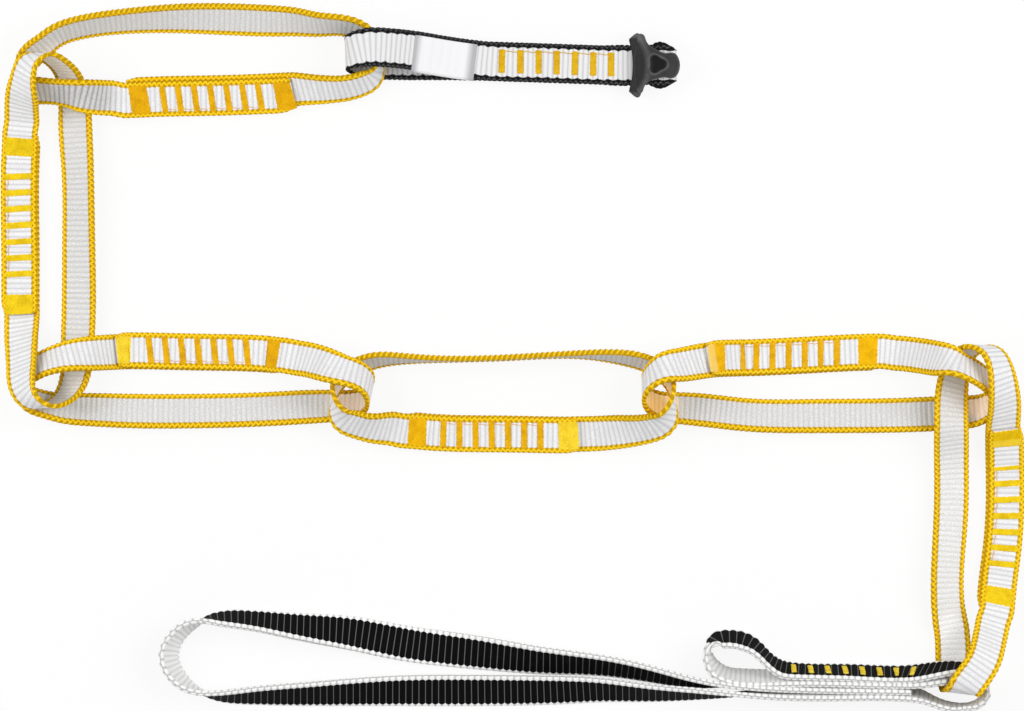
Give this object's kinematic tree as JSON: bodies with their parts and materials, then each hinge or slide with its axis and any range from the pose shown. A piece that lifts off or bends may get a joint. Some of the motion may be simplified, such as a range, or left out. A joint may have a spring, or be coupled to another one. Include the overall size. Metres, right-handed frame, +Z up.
{
  "type": "daisy chain",
  "caption": "Chain-type daisy chain of interlinked sewn webbing loops with a carabiner sling and rubber keeper at one end and a webbing tether at the other.",
  "frame": {"origin": "middle of the base of the bounding box, on the table", "axes": "+X to the right of the picture, along the longest extent; +Y to its top; +Z up from the table"},
  "size_m": [0.4562, 0.3152, 0.0308],
  "materials": {
    "link_webbing": "woven, white core with yellow selvedges",
    "tack_thread": "dense stitching",
    "sling_webbing": "woven, white with black selvedges",
    "sling_thread": "dense stitching",
    "label_fabric": "smooth coated fabric, bare",
    "keeper_rubber": "matt moulded rubber",
    "tether_webbing": "woven, black face, white back and selvedges",
    "tether_thread": "dense stitching"
  },
  "bodies": {
    "keeper": {"carabiner_keeper": "keeper_rubber"},
    "link_1": {"link_1_bar_tacks": "tack_thread", "link_1_block_tack_end": "tack_thread", "link_1_block_tack_start": "tack_thread", "link_1_webbing": "link_webbing"},
    "link_2": {"link_2_bar_tacks": "tack_thread", "link_2_block_tack_end": "tack_thread", "link_2_block_tack_start": "tack_thread", "link_2_webbing": "link_webbing"},
    "link_3": {"link_3_bar_tacks": "tack_thread", "link_3_block_tack_end": "tack_thread", "link_3_block_tack_start": "tack_thread", "link_3_webbing": "link_webbing"},
    "link_4": {"link_4_bar_tacks": "tack_thread", "link_4_block_tack_end": "tack_thread", "link_4_block_tack_start": "tack_thread", "link_4_webbing": "link_webbing"},
    "link_5": {"link_5_bar_tacks": "tack_thread", "link_5_block_tack_end": "tack_thread", "link_5_block_tack_start": "tack_thread", "link_5_webbing": "link_webbing"},
    "link_6": {"link_6_bar_tacks": "tack_thread", "link_6_block_tack_end": "tack_thread", "link_6_block_tack_start": "tack_thread", "link_6_webbing": "link_webbing"},
    "sling": {"sling_bar_tacks": "sling_thread", "sling_label": "label_fabric", "sling_webbing": "sling_webbing"},
    "tether": {"tether_bar_tacks": "tether_thread", "tether_webbing": "tether_webbing"}
  },
  "joints": [
    {"name": "link_4_link_3_swing", "type": "hinge", "parent": "link_4", "child": "link_3", "pos_m": [-0.07135, -0.01345, 0.012], "axis": [0, 0, 1], "range_deg": [-6, 15]},
    {"name": "link_3_link_2_swing", "type": "hinge", "parent": "link_3", "child": "link_2", "pos_m": [-0.21, -0.01708, 0.012], "axis": [0, 0, 1], "range_deg": [-5, 15]},
    {"name": "link_2_link_1_swing", "type": "hinge", "parent": "link_2", "child": "link_1", "pos_m": [-0.21, 0.12162, 0.012], "axis": [0, 0, 1], "range_deg": [-15, 8]},
    {"name": "link_1_sling_swing", "type": "hinge", "parent": "link_1", "child": "sling", "pos_m": [-0.07139, 0.12646, 0.012], "axis": [0, 0, 1], "range_deg": [-4, 15]},
    {"name": "link_4_link_5_swing", "type": "hinge", "parent": "link_4", "child": "link_5", "pos_m": [0.06735, -0.01345, 0.012], "axis": [0, 0, 1], "range_deg": [-3, 8]},
    {"name": "link_5_link_6_swing", "type": "hinge", "parent": "link_5", "child": "link_6", "pos_m": [0.20605, -0.01345, 0.012], "axis": [0, 0, 1], "range_deg": [-3, 4]},
    {"name": "link_6_tether_swing", "type": "hinge", "parent": "link_6", "child": "tether", "pos_m": [0.20242, -0.1521, 0.012], "axis": [0, 0, 1], "range_deg": [-4, 1.5]},
    {"name": "keeper_slide", "type": "slide", "parent": "sling", "child": "keeper", "axis": [-1, 0, 0], "range_m": [0, 0.004]}
  ]
}
